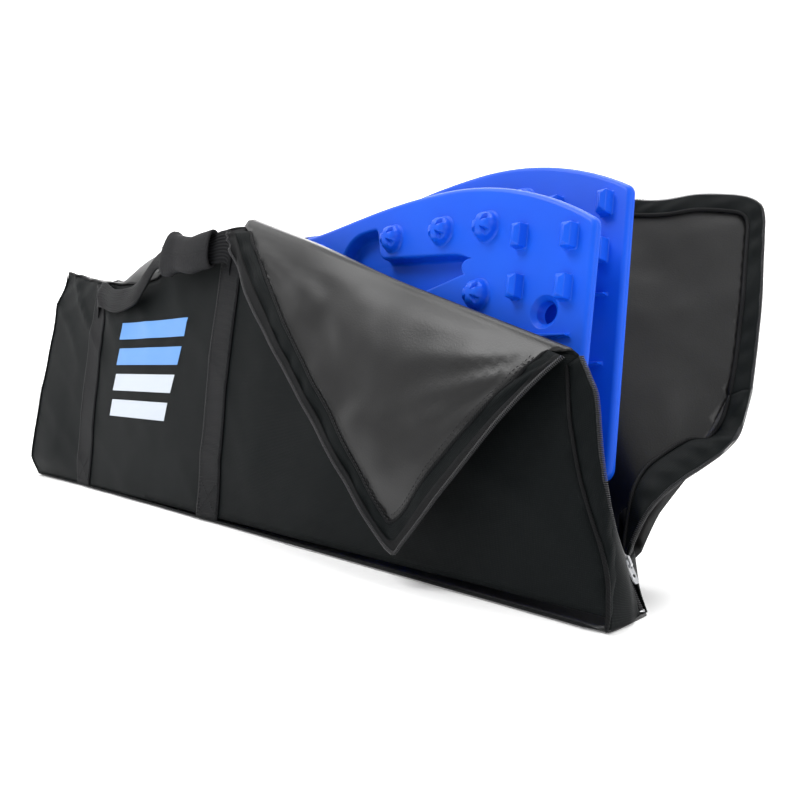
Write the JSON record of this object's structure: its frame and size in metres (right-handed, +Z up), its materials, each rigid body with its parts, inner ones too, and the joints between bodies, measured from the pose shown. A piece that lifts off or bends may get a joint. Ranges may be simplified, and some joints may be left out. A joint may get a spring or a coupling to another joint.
{
  "type": "traction board set in a carry bag",
  "caption": "Moulded traction boards with studs, grip recesses and mounting holes, standing on edge in an open zip-up carry bag with webbing handles.",
  "frame": {"origin": "middle of the bag's base, on the floor", "axes": "+X along the bag towards its open end, -Y out of the front panel, +Z up"},
  "size_m": [1.112, 0.374, 0.3855],
  "materials": {
    "board_plastic": "satin moulded",
    "coated_lining": "coated, low sheen",
    "woven_shell": "plain weave",
    "webbing": "ribbed webbing",
    "zip_tape": "twill tape",
    "zip_coil": "nylon coil",
    "grip_pad": "brushed",
    "print_ink": "printed",
    "silver_metal": "satin"
  },
  "bodies": {
    "bag": {"base_strip": "woven_shell", "base_lining": "coated_lining", "end_gusset": "woven_shell", "end_gusset_lining": "coated_lining", "front_panel": "woven_shell", "front_lining": "coated_lining", "rear_panel": "woven_shell", "rear_lining": "coated_lining", "top_gusset_front": "woven_shell", "top_gusset_rear": "woven_shell", "top_tape": "zip_tape", "top_zip_chain": "zip_coil", "top_zip_stop": "silver_metal", "corner_gusset_front": "woven_shell", "corner_gusset_rear": "woven_shell", "corner_zip_chain": "zip_coil", "corner_zip_stop": "silver_metal", "webbing_front_left": "webbing", "webbing_front_right": "webbing", "webbing_rear_left": "webbing", "webbing_rear_right": "webbing", "printed_emblem": "print_ink"},
    "front_board": {"board_front": "board_plastic"},
    "rear_board": {"board_rear": "board_plastic"},
    "front_flap": {"front_flap_panel": "woven_shell", "front_flap_lining": "coated_lining", "front_flap_gusset": "woven_shell", "front_flap_teeth": "zip_coil"},
    "rear_flap": {"rear_flap_panel": "woven_shell", "rear_flap_lining": "coated_lining", "rear_flap_gusset": "woven_shell", "rear_flap_teeth": "zip_coil"},
    "front_handle": {"handle_front": "webbing", "grip_wrap": "grip_pad"},
    "rear_handle": {"handle_rear": "webbing"},
    "slider": {"slider_body": "silver_metal", "slider_bridge": "silver_metal"},
    "puller": {"pull_tab": "silver_metal"}
  },
  "joints": [
    {"name": "front_board_slide", "type": "slide", "parent": "bag", "child": "front_board", "axis": [1, 0, 0], "range_m": [0, 0.86], "deforming": ["corner_gusset_front"]},
    {"name": "rear_board_slide", "type": "slide", "parent": "bag", "child": "rear_board", "axis": [0.9987, 0, 0.0506], "range_m": [0, 0.86]},
    {"name": "front_flap_fold", "type": "hinge", "parent": "bag", "child": "front_flap", "pos_m": [0.062, -0.02766, 0.34644], "axis": [-0.9506, 0.0394, 0.3078], "range_deg": [0, 150]},
    {"name": "rear_flap_fold", "type": "hinge", "parent": "bag", "child": "rear_flap", "pos_m": [0.3, 0.09113, 0.36517], "axis": [-0.565, 0.0432, 0.824], "range_deg": [-38, 95]},
    {"name": "front_handle_swing", "type": "hinge", "parent": "bag", "child": "front_handle", "pos_m": [-0.37, -0.02996, 0.31195], "axis": [-0.995, -0.0127, -0.0992], "range_deg": [0, 85]},
    {"name": "rear_handle_swing", "type": "hinge", "parent": "bag", "child": "rear_handle", "pos_m": [-0.37, 0.08825, 0.3503], "axis": [0.9987, 0.0026, 0.0501], "range_deg": [0, 120]},
    {"name": "slider_travel", "type": "slide", "parent": "bag", "child": "slider", "axis": [-0.4695, 0, 0.8829], "range_m": [-0.0065, 0]},
    {"name": "puller_swing", "type": "hinge", "parent": "slider", "child": "puller", "pos_m": [0.53659, -0.012, 0.03873], "axis": [0, -1, 0], "range_deg": [0, 90]}
  ]
}
